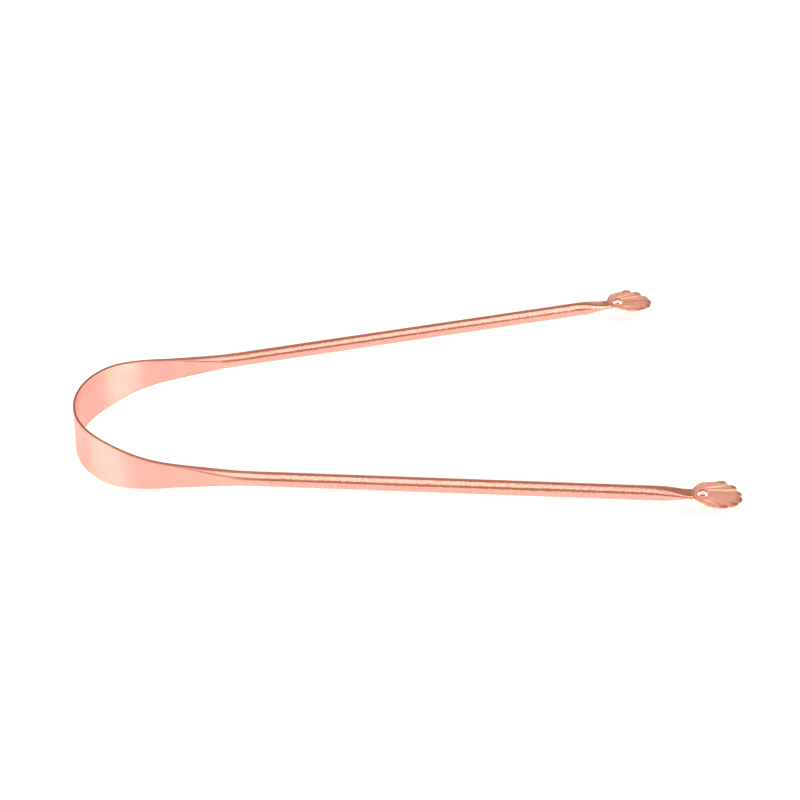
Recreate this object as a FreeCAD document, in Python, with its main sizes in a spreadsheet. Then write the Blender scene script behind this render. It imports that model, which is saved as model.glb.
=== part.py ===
"""Copper tongue scraper: a bow of flat strip, two rod handles, two shell thumb rests and their rivets.

The strip stands on edge. +X runs from the bow to the thumb rests, +Y to the left handle and +Z up.
The origin is under the middle of the tool, at the level of the strip's lower edge. Lengths are in mm.
"""
import FreeCAD, Part
import Sketcher
import math
import os

Vector = FreeCAD.Vector
UP = Vector(0, 0, 1)
DOWN = Vector(0, 0, -1)

# Driving sizes: angles and counts say so in their names, and everything else is a length.
SIZES = {
    # the bow of flat strip
    "bend_radius": 26.07,
    "band_height": 11.2,
    "band_thickness": 0.5,
    "split_thickness": 1.05,
    "split_gap": 0.12,
    "arm_angle": 10.82,
    # the strip's narrowing, measured from the bow's front along X
    "taper_start": 1.95,
    "taper_end": 41.55,
    "taper_turn_share": 0.254,
    # the handles, measured along each arm from the split
    "handle_length": 124.45,
    "rod_diameter": 3.45,
    "last_flat": 0.1,
    "flatten_length": 8.5,
    "neck_length": 1.5,
    "neck_width": 3.7,
    "neck_thickness": 1.0,
    "tongue_thickness": 0.45,
    "tongue_width": 2.6,
    # the shells, measured from the centre of the round rim
    "shell_radius": 6.1,
    "shell_reach": 5.2,
    "shell_thickness": 0.45,
    "crown_radius": 57.0,
    "shell_root_width": 3.3,
    "flank_radius": 5.75,
    "notch_depth": 0.42,
    "lobe_angle": 29.0,
    "flute_depth": 0.22,
    "flute_radius": 0.7,
    "flute_start_radius": 0.2,
    "flute_start_lift": 0.35,
    # the rivets
    "rivet_setback": 2.97,
    "rivet_diameter": 1.6,
    "rivet_clearance": 0.03,
    "head_radius": 1.45,
    "head_height": 1.1,
    "head_sink": 0.05,
    "tail_radius": 1.3,
    "tail_height": 0.3,
    # how far a cut runs past what it cuts
    "overrun": 1.0,
}
LOBES = 6

# The shoulder's flat sections: where they stand along it, and how far its thickness has grown there.
SHOULDER_SHARES = ((0.0, 0.0), (0.25, 0.22), (0.5, 0.63), (0.75, 0.93))
# The pressed end's flat sections: where they stand along it, and how far width and thickness have changed.
PRESSED_SHARES = ((0.5, 1.6, 0.32), (1.0, 1.0, 1.0))

doc = FreeCAD.newDocument("tongue_scraper")
sheet = doc.addObject("Spreadsheet::Sheet", "Sizes")
for row, (alias, size) in enumerate(SIZES.items(), start=1):
    sheet.set(f"A{row}", alias)
    sheet.set(f"B{row}", str(size))
    sheet.setAlias(f"B{row}", alias)
doc.recompute()


def cells(formula):
    """The formula with each size's name turned into a reference to its cell."""
    for alias in sorted(SIZES, key=len, reverse=True):
        formula = formula.replace(f"<{alias}>", f"Sizes.{alias}")
    return formula


def number(formula):
    return float(sheet.evalExpression(formula))


# Places and sizes that follow from the driving sizes. Angles are in degrees.
ROD_RADIUS = cells("<rod_diameter> / 2")
BOW_CENTRE = cells("(<bend_radius> + <band_thickness> / 2)")
OUTER_RADIUS = BOW_CENTRE
HINGE_RADIUS = cells(f"({OUTER_RADIUS} - <split_thickness> / 2)")
HINGE_X = cells(f"({BOW_CENTRE} - {HINGE_RADIUS} * sin(<arm_angle>))")
HINGE_Y = cells(f"({HINGE_RADIUS} * cos(<arm_angle>))")
OVERALL_LENGTH = cells(f"({HINGE_X} + <handle_length> * cos(<arm_angle>) + <shell_radius>)")
BASE_SHIFT = f"(-{OVERALL_LENGTH} / 2)"
MID_HEIGHT = cells("<band_height> / 2")

TAPER_LENGTH = cells("(<taper_end> - <taper_start>)")
TAPER_DROP = cells("((<band_height> - <rod_diameter>) / 2)")
TURN_X = cells(f"(<taper_start> + <taper_turn_share> * {TAPER_LENGTH})")
TURN_Z = cells(f"(<band_height> / 2 - <taper_turn_share> * {TAPER_DROP})")
LATE_SHARE = cells("(1 - <taper_turn_share>)")
CHORD_SQUARED = f"({TAPER_LENGTH} * {TAPER_LENGTH} + {TAPER_DROP} * {TAPER_DROP})"
EARLY_RADIUS = cells(f"(<taper_turn_share> * {CHORD_SQUARED} / (2 * {TAPER_DROP}))")
LATE_RADIUS = f"({LATE_SHARE} * {CHORD_SQUARED} / (2 * {TAPER_DROP}))"

SHOULDER_LENGTH = cells(f"((<taper_end> - {HINGE_X}) / cos(<arm_angle>))")
SHELL_ROOT = cells("(<handle_length> - <shell_reach>)")
NECK_START = cells(f"({SHELL_ROOT} - <neck_length>)")
ROD_END = cells(f"({NECK_START} - <flatten_length>)")
RIVET_X = cells("(<handle_length> - <rivet_setback>)")
SEAT_Z = cells("(<tongue_thickness> - <neck_thickness> / 2)")

CROWN_TOP = cells(f"({SEAT_Z} + <shell_thickness>)")
CROWN_RADIUS = cells("<crown_radius>")
CROWN_START = cells("(<tongue_width> / 2 + <rivet_clearance>)")
RIM_REACH = cells("(<rivet_setback> + <shell_radius>)")
HOLE_RADIUS = cells("(<rivet_diameter> / 2 + <rivet_clearance>)")


def crown_z(along):
    """The height of a shell's top, this far past the rivet: level over the tongue, then falling to the tip."""
    past = f"({along} - {CROWN_START})"
    return f"({CROWN_TOP} - {CROWN_RADIUS} + sqrt({CROWN_RADIUS} * {CROWN_RADIUS} - {past} * {past}))"


# The rivet's head is let in a little below the shell's top.
HEAD_SEAT = cells(f"({CROWN_TOP} - <head_sink>)")
BLANK_BOTTOM = cells(f"({crown_z(RIM_REACH)} - <shell_thickness> - <overrun>)")


def half_height(along_x):
    """Half the strip's height at a place on X past the turn of its narrowing."""
    away = cells(f"(<taper_end> - {along_x})")
    return f"({ROD_RADIUS} + {LATE_RADIUS} - sqrt({LATE_RADIUS} * {LATE_RADIUS} - {away} * {away}))"


def origin_plane(body, role):
    return next(plane for plane in body.Origin.OriginFeatures if plane.Role == role)


def new_sketch(body, name, role, offset=None, sideways=None):
    """A sketch on one of its body's own planes, moved along that plane's normal or along its own X."""
    sketch = body.newObject("Sketcher::SketchObject", name)
    sketch.AttachmentSupport = (origin_plane(body, role), "")
    sketch.MapMode = "FlatFace"
    if offset:
        sketch.setExpression("AttachmentOffset.Base.z", offset)
    if sideways:
        sketch.setExpression("AttachmentOffset.Base.x", sideways)
    return sketch


def constrain(sketch, formula, *constraint):
    index = sketch.addConstraint(Sketcher.Constraint(*constraint, number(formula)))
    sketch.setExpression(f"Constraints[{index}]", formula)


def pin(sketch, edge, end, place):
    """Ties one end of an edge to a place given by two formulas."""
    constrain(sketch, place[0], "DistanceX", -1, 1, edge, end)
    constrain(sketch, place[1], "DistanceY", -1, 1, edge, end)


def join(sketch, edge, end, other_edge, other_end):
    sketch.addConstraint(Sketcher.Constraint("Coincident", edge, end, other_edge, other_end))


def spot(place):
    return Vector(number(place[0]), number(place[1]), 0)


def bowed_arc(start, end, radius, side):
    """An arc of a given radius from start to end, bulging to the left of the way if side is 1."""
    chord = end - start
    half = chord.Length / 2
    sagitta = radius - math.sqrt(radius * radius - half * half)
    left = Vector(-chord.y, chord.x, 0).normalize()
    return Part.Arc(start, (start + end) / 2 + left * (side * sagitta), end)


def outline(sketch, corners, bows):
    """A closed outline. bows gives, per side, None for a line, or an arc's radius, bulging side and centre.

    An arc is tied by its radius, or for a half circle, which its radius can't hold, by its centre.
    """
    places = [spot(corner) for corner in corners]
    first = sketch.GeometryCount
    count = len(corners)
    for index, bow in enumerate(bows):
        start = places[index]
        end = places[(index + 1) % count]
        if bow is None:
            sketch.addGeometry(Part.LineSegment(start, end), False)
        else:
            sketch.addGeometry(bowed_arc(start, end, number(bow[0]), bow[1]), False)
    ends = [edge_ends(sketch, first + index, places[index]) for index in range(count)]
    for index, corner in enumerate(corners):
        join(sketch, first + (index - 1) % count, ends[index - 1][1], first + index, ends[index][0])
        pin(sketch, first + index, ends[index][0], corner)
    for index, bow in enumerate(bows):
        if bow is None:
            continue
        radius, side, centre = bow
        if centre:
            constrain(sketch, centre[1], centre[0], -1, 1, first + index, 3)
        else:
            constrain(sketch, radius, "Radius", first + index)


def edge_ends(sketch, edge, start):
    """Which end of the edge is its start and which its end: arcs run anticlockwise whatever the way."""
    at_start = sketch.getPoint(edge, 1).distanceToPoint(start)
    at_end = sketch.getPoint(edge, 2).distanceToPoint(start)
    return (1, 2) if at_start < at_end else (2, 1)


def minus(formula):
    return f"(-{formula})"


def slot(sketch, width, height):
    """A slot round the sketch's origin: two flat sides this far apart and two round ends."""
    upright = number(width) < number(height)
    narrow, wide = (width, height) if upright else (height, width)
    radius = f"({narrow} / 2)"
    reach = f"(({wide} - {narrow}) / 2)"
    section(sketch, upright, radius, reach, radius, reach, None)


def split_circle(sketch, upright):
    """The rod's circle, split as a slot's outline is, with two short arcs where a slot has its flats."""
    reach = cells("(<last_flat> / 2)")
    side = f"sqrt({ROD_RADIUS} * {ROD_RADIUS} - {reach} * {reach})"
    section(sketch, upright, side, reach, ROD_RADIUS, "0", (ROD_RADIUS, -1, None))


def section(sketch, upright, side, reach, end_radius, end_centre, side_bow):
    """Two sides this far from the origin, reaching this far each way, and two round ends with their centres.

    An upright section has its sides left and right, and any other has them above and below.
    """
    end = (end_radius, -1, ("DistanceY" if upright else "DistanceX", end_centre))
    other_end = (end_radius, -1, ("DistanceY" if upright else "DistanceX", minus(end_centre)))
    right, top = (side, reach) if upright else (reach, side)
    corners = [(right, minus(top)), (right, top), (minus(right), top), (minus(right), minus(top))]
    bows = [side_bow, end, side_bow, other_end] if upright else [end, side_bow, other_end, side_bow]
    outline(sketch, corners, bows)


def circle(sketch, centre_x, radius):
    edge = sketch.addGeometry(Part.Circle(Vector(number(centre_x), 0, 0), UP, number(radius)), False)
    constrain(sketch, centre_x, "DistanceX", -1, 1, edge, 3)
    sketch.addConstraint(Sketcher.Constraint("PointOnObject", edge, 3, -1))
    constrain(sketch, radius, "Radius", edge)


def pad(body, name, sketch, length, symmetric=False):
    feature = body.newObject("PartDesign::Pad", name)
    feature.Profile = sketch
    feature.setExpression("Length", length)
    feature.SideType = "Symmetric" if symmetric else "One side"
    doc.recompute()


def cut_through(body, name, sketch, both_ways=True, upwards=False):
    """A cut right through the body along the sketch's normal, which has to take something away."""
    before = body.Shape.Volume
    feature = body.newObject("PartDesign::Pocket", name)
    feature.Profile = sketch
    feature.Type = "ThroughAll"
    feature.SideType = "Symmetric" if both_ways else "One side"
    feature.Reversed = upwards
    doc.recompute()
    if not body.Shape.Volume < before:
        raise RuntimeError(f"{body.Label}: {name} cut nothing away")


def loft(body, name, sections):
    feature = body.newObject("PartDesign::AdditiveLoft", name)
    feature.Profile = sections[0]
    feature.Sections = sections[1:]
    doc.recompute()


def new_body(label):
    body = doc.addObject("PartDesign::Body", label)
    body.Label = label
    return body


def make_band():
    """The bow: strip bent in plan, then narrowed above and below towards its two ends."""
    body = new_body("scraper_band")
    plan = new_sketch(body, "bow_plan", "XY_Plane")
    short_x = cells("<split_gap> / 2 * cos(<arm_angle>)")
    short_y = cells("<split_gap> / 2 * sin(<arm_angle>)")
    inner_radius_at_end = cells(f"({OUTER_RADIUS} - <split_thickness>)")
    outer_x = cells(f"({BOW_CENTRE} - {OUTER_RADIUS} * sin(<arm_angle>) - {short_x})")
    outer_y = cells(f"({OUTER_RADIUS} * cos(<arm_angle>) - {short_y})")
    inner_x = cells(f"({BOW_CENTRE} - {inner_radius_at_end} * sin(<arm_angle>) - {short_x})")
    inner_y = cells(f"({inner_radius_at_end} * cos(<arm_angle>) - {short_y})")
    from_front = cells(f"({inner_x} - <band_thickness>)")
    inner_radius = f"(({from_front} * {from_front} + {inner_y} * {inner_y}) / (2 * {from_front}))"
    bow_outline(plan, (outer_x, outer_y), (inner_x, inner_y), OUTER_RADIUS, inner_radius)
    pad(body, "bow", plan, cells("<band_height>"), symmetric=True)

    side = new_sketch(body, "narrowing_side", "XZ_Plane")
    far_x = cells(f"({HINGE_X} + <overrun>)")
    for sign in ("", "-"):
        narrowing_outline(side, far_x, sign)
    cut_through(body, "narrowing", side)
    place(body, BASE_SHIFT, "0", MID_HEIGHT)
    return body


def bow_outline(sketch, outer, inner, outer_radius, inner_radius):
    """The bow in plan: two arcs, each through its two ends and past the front, and the two cut ends."""
    outer_spot = spot(outer)
    inner_spot = spot(inner)
    middles = []
    for end, radius in ((outer_spot, number(outer_radius)), (inner_spot, number(inner_radius))):
        centre_x = end.x + math.sqrt(radius * radius - end.y * end.y)
        middles.append(Vector(centre_x - radius, 0, 0))
    mirrored = [Vector(point.x, -point.y, 0) for point in (outer_spot, inner_spot)]
    sketch.addGeometry(Part.Arc(outer_spot, middles[0], mirrored[0]), False)
    sketch.addGeometry(Part.LineSegment(mirrored[0], mirrored[1]), False)
    sketch.addGeometry(Part.Arc(mirrored[1], middles[1], inner_spot), False)
    sketch.addGeometry(Part.LineSegment(inner_spot, outer_spot), False)
    starts = (outer_spot, mirrored[0], mirrored[1], inner_spot)
    ends = [edge_ends(sketch, index, start) for index, start in enumerate(starts)]
    places = (outer, (outer[0], minus(outer[1])), (inner[0], minus(inner[1])), inner)
    for index, corner in enumerate(places):
        before = (index - 1) % len(places)
        join(sketch, before, ends[before][1], index, ends[index][0])
        pin(sketch, index, ends[index][0], corner)
    constrain(sketch, outer_radius, "Radius", 0)
    constrain(sketch, inner_radius, "Radius", 2)


def narrowing_outline(sketch, far_x, sign):
    """What is cut from above the strip, or with a minus sign from below: two tangent arcs and a box."""
    top = cells("(<band_height> / 2)")
    clear = cells(f"({top} + <overrun>)")
    start_x = cells("<taper_start>")
    heights = (top, TURN_Z, half_height(far_x), clear, clear)
    corners = [(along_x, f"({sign}{height})")
               for along_x, height in zip((start_x, TURN_X, far_x, far_x, start_x), heights)]
    side = -1 if sign else 1
    bows = [(EARLY_RADIUS, side, None), (LATE_RADIUS, -side, None), None, None, None]
    outline(sketch, corners, bows)


def place(body, base_x, base_y, base_z, angle=None, axis=UP):
    """Sets a body down at a place, turned about an upright axis."""
    body.Placement = FreeCAD.Placement(Vector(), FreeCAD.Rotation(axis, number(angle) if angle else 0))
    body.setExpression("Placement.Base.x", base_x)
    body.setExpression("Placement.Base.y", base_y)
    body.setExpression("Placement.Base.z", base_z)
    if angle:
        body.setExpression("Placement.Rotation.Angle", angle)


def place_on_arm(body, along, left):
    """Sets a body down on the left or right arm, this far from the split."""
    base_x = cells(f"({HINGE_X} + {along} * cos(<arm_angle>) + {BASE_SHIFT})")
    base_y = cells(f"({HINGE_Y} + {along} * sin(<arm_angle>))")
    if not left:
        base_y = minus(base_y)
    place(body, base_x, base_y, MID_HEIGHT, cells("<arm_angle>"), UP if left else DOWN)


def make_handle(label, left):
    """A handle: shoulder, round rod, pressed flat end and the half-thickness tongue for the shell."""
    body = new_body(label)
    start = cells("<split_gap> / 2")
    shoulder = []
    for index, (along_share, grown_share) in enumerate(SHOULDER_SHARES):
        along = f"({start} + {along_share} * ({SHOULDER_LENGTH} - {start}))"
        growth = cells("(<rod_diameter> - <last_flat> - <split_thickness>)")
        width = cells(f"(<split_thickness> + {grown_share} * {growth})")
        along_x = cells(f"({HINGE_X} + {along} * cos(<arm_angle>))")
        height = f"(2 * {half_height(along_x)})"
        shoulder.append(new_sketch(body, f"shoulder_{index}", "YZ_Plane", along))
        slot(shoulder[-1], width, height)
    shoulder.append(new_sketch(body, "shoulder_end", "YZ_Plane", SHOULDER_LENGTH))
    split_circle(shoulder[-1], upright=True)
    loft(body, "shoulder", shoulder)

    round_section = new_sketch(body, "rod_section", "YZ_Plane", SHOULDER_LENGTH)
    circle(round_section, "0", ROD_RADIUS)
    pad(body, "rod", round_section, f"({ROD_END} - {SHOULDER_LENGTH})")

    pressed = [new_sketch(body, "pressed_start", "YZ_Plane", ROD_END)]
    split_circle(pressed[0], upright=False)
    for index, (along_share, width_share, thin_share) in enumerate(PRESSED_SHARES):
        along = cells(f"({ROD_END} + {along_share} * <flatten_length>)")
        width = cells(f"(<rod_diameter> + {width_share} * (<neck_width> - <rod_diameter>))")
        height = cells(f"(<rod_diameter> + {thin_share} * (<neck_thickness> - <rod_diameter>))")
        pressed.append(new_sketch(body, f"pressed_{index}", "YZ_Plane", along))
        slot(pressed[-1], width, height)
    loft(body, "pressed_end", pressed)

    neck = new_sketch(body, "neck_section", "YZ_Plane", NECK_START)
    slot(neck, cells("<neck_width>"), cells("<neck_thickness>"))
    pad(body, "neck", neck, cells("<neck_length>"))

    tongue = new_sketch(body, "tongue_plan", "XY_Plane", cells("(-<neck_thickness> / 2)"))
    tongue_outline(tongue, SHELL_ROOT, RIVET_X, cells("(<tongue_width> / 2)"))
    pad(body, "tongue", tongue, cells("<tongue_thickness>"))
    hole = new_sketch(body, "rivet_hole_plan", "XY_Plane")
    circle(hole, RIVET_X, HOLE_RADIUS)
    cut_through(body, "rivet_hole", hole)
    place_on_arm(body, "0", left)
    return body


def tongue_outline(sketch, root_x, rivet_x, side):
    """The tongue in plan, round-ended about the rivet."""
    corners = [(root_x, minus(side)), (rivet_x, minus(side)), (rivet_x, side), (root_x, side)]
    outline(sketch, corners, [None, (side, -1, ("DistanceX", rivet_x)), None, None])


def rim_point(angle, radius):
    return (f"({radius} * cos({angle}))", f"({radius} * sin({angle}))")


def notch_angles():
    return [cells(f"(({index} - {LOBES / 2}) * <lobe_angle>)") for index in range(LOBES + 1)]


def shell_outline(sketch):
    """The shell in plan: a straight root, two bowed flanks and a rim of round lobes."""
    notch_radius = cells("(<shell_radius> - <notch_depth>)")
    notches = [rim_point(angle, notch_radius) for angle in notch_angles()]
    half_root = cells("(<shell_root_width> / 2)")
    root_x = cells("(-<shell_reach>)")
    half_chord = cells(f"({notch_radius} * sin(<lobe_angle> / 2))")
    lobe_rise = cells(f"(<shell_radius> - {notch_radius} * cos(<lobe_angle> / 2))")
    lobe_radius = f"(({half_chord} * {half_chord} + {lobe_rise} * {lobe_rise}) / (2 * {lobe_rise}))"
    flank = (cells("<flank_radius>"), -1, None)
    corners = [(root_x, half_root), (root_x, minus(half_root))] + notches
    bows = [None, flank] + [(lobe_radius, -1, None)] * LOBES + [flank]
    outline(sketch, corners, bows)


def crown_outline(sketch, lowered, clear_z):
    """What is cut away above the top, or below the back: level over the tongue, then an arc, and a box."""
    back_x = cells("(<rivet_setback> - <shell_reach> - <overrun>)")
    clear_x = cells(f"({RIM_REACH} + <overrun>)")
    level_z = f"({CROWN_TOP} - {lowered})"
    edge_z = f"({crown_z(clear_x)} - {lowered})"
    corners = [(back_x, level_z), (CROWN_START, level_z), (clear_x, edge_z), (clear_x, clear_z), (back_x, clear_z)]
    outline(sketch, corners, [None, (CROWN_RADIUS, 1, None), None, None, None])


def cut_flute(body, index, angle):
    """One groove from the rivet to a notch of the rim, widening and deepening on the way."""
    notch_radius = cells("(<shell_radius> - <notch_depth>)")
    setback = cells("<rivet_setback>")
    start_z = cells(f"({CROWN_TOP} + <flute_start_lift>)")
    run_x = f"({setback} + {notch_radius} * cos({angle}))"
    run_y = f"({notch_radius} * sin({angle}))"
    run_z = cells(f"({crown_z(run_x)} + <flute_radius> - <flute_depth> - {start_z})")
    length = f"sqrt({run_x} * {run_x} + {run_y} * {run_y} + {run_z} * {run_z})"
    growth = cells(f"((<flute_radius> - <flute_start_radius>) / {length})")
    before = body.Shape.Volume
    cone = body.newObject("PartDesign::SubtractiveCone", f"flute_{index}")
    way = Vector(number(run_x), number(run_y), number(run_z))
    seam_on_top = FreeCAD.Rotation(UP, way).multiply(FreeCAD.Rotation(UP, 180))
    cone.Placement = FreeCAD.Placement(Vector(), seam_on_top)
    cone.setExpression("Placement.Base.x", minus(setback))
    cone.setExpression("Placement.Base.z", start_z)
    cone.setExpression("Height", cells(f"({length} + <overrun>)"))
    cone.setExpression("Radius1", cells("<flute_start_radius>"))
    cone.setExpression("Radius2", cells(f"(<flute_radius> + <overrun> * {growth})"))
    doc.recompute()
    if not body.Shape.Volume < before:
        raise RuntimeError(f"{body.Label}: flute {index} cut nothing away")


def make_shell(label, left):
    """A thumb rest: a fluted scallop of thin sheet, level on the tongue and falling towards its tip."""
    body = new_body(label)
    plan = new_sketch(body, "shell_plan", "XY_Plane", BLANK_BOTTOM)
    shell_outline(plan)
    pad(body, "blank", plan, cells(f"({CROWN_TOP} + <overrun> - {BLANK_BOTTOM})"))
    away = cells("(-<rivet_setback>)")
    crown = new_sketch(body, "crown_side", "XZ_Plane", sideways=away)
    crown_outline(crown, "0", cells(f"({CROWN_TOP} + 2 * <overrun>)"))
    cut_through(body, "crown", crown)
    hollow = new_sketch(body, "hollow_side", "XZ_Plane", sideways=away)
    crown_outline(hollow, cells("<shell_thickness>"), cells(f"({BLANK_BOTTOM} - <overrun>)"))
    cut_through(body, "hollow", hollow)
    for index, angle in enumerate(notch_angles()):
        cut_flute(body, index, angle)
    head_seat = new_sketch(body, "head_seat_plan", "XY_Plane", HEAD_SEAT)
    circle(head_seat, away, cells("(<head_radius> + <rivet_clearance>)"))
    cut_through(body, "head_seat", head_seat, both_ways=False, upwards=True)
    hole = new_sketch(body, "rivet_hole_plan", "XY_Plane")
    circle(hole, away, HOLE_RADIUS)
    cut_through(body, "rivet_hole", hole)
    place_on_arm(body, cells("<handle_length>"), left)
    return body


def make_rivet(label, left):
    """A rivet: domed head on the shell, shank through shell and tongue, flat tail under the tongue."""
    body = new_body(label)
    side = new_sketch(body, "rivet_side", "XZ_Plane")
    under = cells("(-<neck_thickness> / 2)")
    bottom = cells(f"({under} - <tail_height>)")
    top = cells(f"({HEAD_SEAT} + <head_height>)")
    shank = cells("(<rivet_diameter> / 2)")
    head = cells("<head_radius>")
    tail = cells("<tail_radius>")
    dome = cells("((<head_radius> * <head_radius> + <head_height> * <head_height>) / (2 * <head_height>))")
    corners = [("0", bottom), (tail, bottom), (tail, under), (shank, under),
               (shank, HEAD_SEAT), (head, HEAD_SEAT), ("0", top)]
    outline(side, corners, [None, None, None, None, None, (dome, -1, None), None])
    feature = body.newObject("PartDesign::Revolution", "rivet")
    feature.Profile = side
    feature.ReferenceAxis = (side, ["V_Axis"])
    place_on_arm(body, RIVET_X, left)
    doc.recompute()
    return body


def check(bodies):
    """Stops if any object failed or any sub-part isn't one sound solid."""
    for item in doc.Objects:
        if "Invalid" in item.State or "Error" in item.State:
            raise RuntimeError(f"{item.Name} failed: {item.State}")
    for body in bodies:
        shape = body.Shape
        if shape.isNull() or not shape.isValid() or len(shape.Solids) != 1:
            raise RuntimeError(f"{body.Label} isn't one sound solid")


bodies = [make_band()]
for prefix, left in (("left", True), ("right", False)):
    bodies.append(make_handle(f"{prefix}_handle", left))
    bodies.append(make_shell(f"{prefix}_shell", left))
    bodies.append(make_rivet(f"{prefix}_rivet", left))
doc.recompute()
check(bodies)

os.makedirs("parts", exist_ok=True)
for body in bodies:
    body.Shape.exportStep(f"parts/{body.Label}.step")
    print(f"{body.Label}: {body.Shape.Volume:.2f} mm3")
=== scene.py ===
"""Dresses the packed tongue scraper in brushed, drawn and stamped copper, on a white studio floor.

The frame gives the place of every piece. +X runs from the bow to the shells, +Y to the left rod and +Z up.
Pieces are made for the left arm, in metres, and turned over to the right by a mirror.
"""

import math

import bmesh
import bpy
from mathutils import Color, Matrix, Vector
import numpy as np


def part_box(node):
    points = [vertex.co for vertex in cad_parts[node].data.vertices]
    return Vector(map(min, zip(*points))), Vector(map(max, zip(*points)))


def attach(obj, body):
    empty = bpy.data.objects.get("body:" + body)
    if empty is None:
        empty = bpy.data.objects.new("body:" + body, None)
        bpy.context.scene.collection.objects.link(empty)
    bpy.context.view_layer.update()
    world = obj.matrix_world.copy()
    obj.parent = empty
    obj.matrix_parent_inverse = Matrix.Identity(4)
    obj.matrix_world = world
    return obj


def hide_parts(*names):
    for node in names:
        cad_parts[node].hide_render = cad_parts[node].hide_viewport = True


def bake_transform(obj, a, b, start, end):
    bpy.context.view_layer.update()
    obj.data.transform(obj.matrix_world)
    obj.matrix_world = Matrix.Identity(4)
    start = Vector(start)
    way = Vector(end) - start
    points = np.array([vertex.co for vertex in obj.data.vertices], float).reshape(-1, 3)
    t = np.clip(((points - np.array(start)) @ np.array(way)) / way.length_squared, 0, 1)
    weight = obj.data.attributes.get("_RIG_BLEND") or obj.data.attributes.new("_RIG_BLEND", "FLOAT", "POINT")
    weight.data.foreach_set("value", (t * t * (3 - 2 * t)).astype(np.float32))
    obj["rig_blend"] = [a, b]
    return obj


bl_info = {
    "name": "Copper Tongue Scraper",
    "version": (1, 0, 0),
    "blender": (4, 5, 0),
    "location": "View3D > Sidebar > Scraper",
    "description": "Makes the brushed bow, the rods, the shells and the rivets of a copper tongue scraper",
    "category": "Add Mesh",
}

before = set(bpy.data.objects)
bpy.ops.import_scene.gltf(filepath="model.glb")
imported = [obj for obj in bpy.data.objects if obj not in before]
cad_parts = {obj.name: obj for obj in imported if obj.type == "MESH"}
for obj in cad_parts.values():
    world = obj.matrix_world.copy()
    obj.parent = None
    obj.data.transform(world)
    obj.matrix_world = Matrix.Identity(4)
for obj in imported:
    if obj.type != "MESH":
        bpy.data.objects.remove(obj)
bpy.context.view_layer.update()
BAND_LOW, BAND_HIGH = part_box("scraper_band")
RIVET_LOW, RIVET_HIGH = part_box("left_rivet")

MM = 0.001
FRONT_X = BAND_LOW.x
MID_Z = (BAND_LOW.z + BAND_HIGH.z) / 2
RIVET_AXIS = (RIVET_LOW + RIVET_HIGH) / 2
ARMS = (("left", "left_arm", 1), ("right", "right_arm", -1))

# How many steps each stretch of a piece is cut into.
BOW_STEPS = 120
SPLIT_STEPS = 30
SHOULDER_STEPS = 90
ROD_STEPS = 60
SLOPE_STEPS = 40
NECK_STEPS = 6
TONGUE_STEPS = 4
TIP_STEPS = 12
DOME_SEGMENTS = 64
DOME_RINGS = 40
# The stretch of strip before the split with finer steps, and where it has turned fully with its arm.
SPLIT_STRETCH = 4.0 * MM
HINGE_MARGIN = 0.3 * MM
# Spots this near to each other are merged, and spots this near to a cut lie on it.
MERGE_DISTANCE = 0.001 * MM
CUT_DISTANCE = 0.0001 * MM


def length(name, description, size):
    """A length in the sidebar, given in millimetres and kept in metres."""
    return bpy.props.FloatProperty(name=name, description=description, default=size * MM, min=0.0,
                                   precision=5, unit="LENGTH")


def angle(name, description, degrees):
    return bpy.props.FloatProperty(name=name, description=description, default=math.radians(degrees),
                                   subtype="ANGLE", unit="ROTATION")


def share(name, description, default):
    return bpy.props.FloatProperty(name=name, description=description, default=default, min=0.0, max=1.0,
                                   subtype="FACTOR")


def strength(name, description, default):
    return bpy.props.FloatProperty(name=name, description=description, default=default, min=0.0)


def tint(name, description, red, green, blue):
    return bpy.props.FloatVectorProperty(name=name, description=description, default=(red, green, blue),
                                         size=3, min=0.0, max=1.0, subtype="COLOR")


class BowSizes(bpy.types.PropertyGroup):
    """The bent strip and its narrowing towards the rods."""

    bend_radius: length("Bend radius", "Radius of the strip's middle at the front of the bow", 26.07)
    thickness: length("Thickness", "Thickness of the strip at the front of the bow", 0.5)
    split_thickness: length("Split thickness", "Thickness of the strip where the rods start", 1.05)
    arm_angle: angle("Arm angle", "Angle between each rod and the middle of the tool", 10.82)
    taper_start: length("Taper start", "Where the strip starts to narrow, from the bow's front", 1.95)
    taper_end: length("Taper end", "Where the narrowing ends in the rod, from the bow's front", 41.55)
    taper_turn: share("Taper turn", "Where along the taper its curve turns over", 0.254)
    edge_round: length("Edge rounding", "Rounding of the strip's edges at the front", 0.07)
    split_round: length("Split rounding", "Rounding of the strip's edges where the rods start", 0.16)
    flex_length: length("Flex length", "How much of the strip bends when a rod is squeezed", 20.0)


class RodSizes(bpy.types.PropertyGroup):
    """The rods with their pressed ends, measured from the split along each arm."""

    diameter: length("Diameter", "Diameter of the round rod", 3.45)
    rod_end: length("Rod end", "Where the rod starts to be pressed flat", 109.25)
    flatten_length: length("Flatten length", "How long the pressed slope is", 8.5)
    neck_length: length("Neck length", "How long the flat neck is before the shell", 1.5)
    neck_width: length("Neck width", "Width of the flat neck", 3.7)
    neck_thickness: length("Neck thickness", "Thickness of the flat neck", 1.0)
    tongue_thickness: length("Tongue thickness", "Thickness of the tongue under the shell", 0.45)
    tongue_width: length("Tongue width", "Width of the tongue under the shell", 2.6)


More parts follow.
